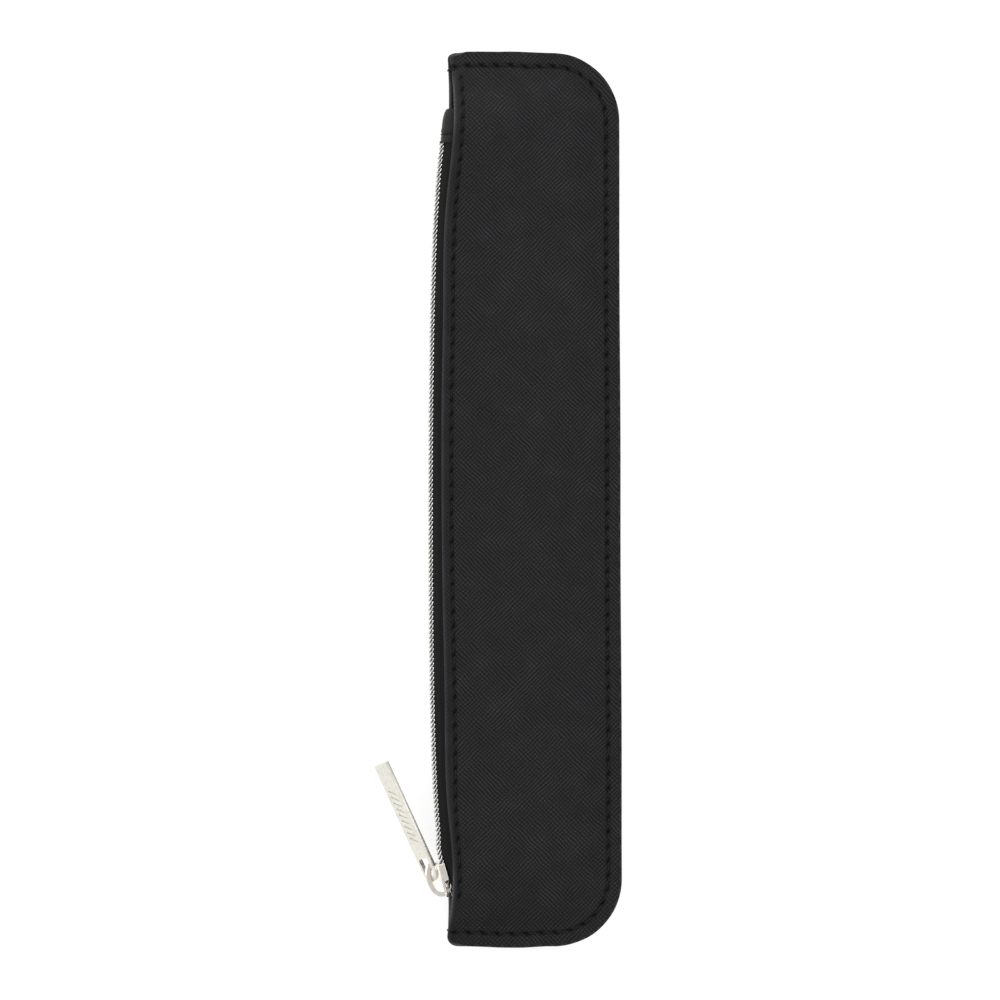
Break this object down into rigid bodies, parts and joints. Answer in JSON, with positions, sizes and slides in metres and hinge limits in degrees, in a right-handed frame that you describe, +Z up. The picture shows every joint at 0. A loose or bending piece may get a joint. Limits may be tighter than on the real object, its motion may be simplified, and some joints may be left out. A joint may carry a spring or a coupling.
{
  "type": "fountain pen case",
  "caption": "Slim zipped leather case for fountain pens: stiffened front and back panels sewn together round a rounded spine, with a coil zip and a flat pull bar along the open long edge.",
  "frame": {"origin": "Centre of the flat bottom of the back panel, on which the case lies.", "axes": "+X from the zip to the sewn spine, +Y along the length from the slider's closed end to the end tab, +Z up through the front panel."},
  "size_m": [0.0595, 0.215, 0.0114],
  "materials": {
    "leather": "embossed cross-grain, satin",
    "board": "matte fibre board",
    "lining": "woven cloth",
    "zip_tape": "woven tape",
    "zip_coil": "metallised, bright",
    "zip_cord": "twisted cord",
    "stop_metal": "bright",
    "thread": "twisted thread",
    "slider_metal": "polished",
    "pull_metal": "satin"
  },
  "bodies": {
    "case_back": {"back_panel": "leather", "zip_end_tab": "leather", "back_stiffener": "board", "back_lining": "lining", "zip_tape_back": "zip_tape", "zip_coil_back": "zip_coil", "zip_core_cord_back": "zip_cord", "zip_top_stop_back": "stop_metal", "zip_bottom_stop": "stop_metal", "zip_seam_thread_back": "thread", "rim_seam_thread_back": "thread", "tab_seam_thread": "thread"},
    "front_cover": {"front_panel": "leather", "front_stiffener": "board", "front_lining": "lining", "zip_tape_front": "zip_tape", "zip_coil_front": "zip_coil", "zip_core_cord_front": "zip_cord", "zip_top_stop_front": "stop_metal", "zip_seam_thread_front": "thread", "rim_seam_thread_front": "thread"},
    "zip_slider": {"slider_body": "slider_metal"},
    "pull": {"pull_bar": "pull_metal"}
  },
  "joints": [
    {"name": "slider_travel", "type": "slide", "parent": "case_back", "child": "zip_slider", "axis": [-0.0082, 1, 0.0029], "range_m": [0, 0.1722], "deforming": ["zip_tape_back", "zip_tape_front", "zip_coil_back", "zip_coil_front", "zip_core_cord_back", "zip_core_cord_front"]},
    {"name": "mouth_open", "type": "hinge", "parent": "case_back", "child": "front_cover", "pos_m": [0.0212, 0, 0.00285], "axis": [0, 1, 0], "range_deg": [0, 12.02], "deforming": ["zip_tape_front", "zip_coil_front", "zip_core_cord_front"]},
    {"name": "pull_swing", "type": "hinge", "parent": "zip_slider", "child": "pull", "pos_m": [-0.0244, -0.0912, 0.00505], "axis": [0, 0, 1], "range_deg": [-10, 120]}
  ],
  "couplings": [
    {"joint": "mouth_open", "follows": "slider_travel", "rad_per_m": 1.2163}
  ]
}
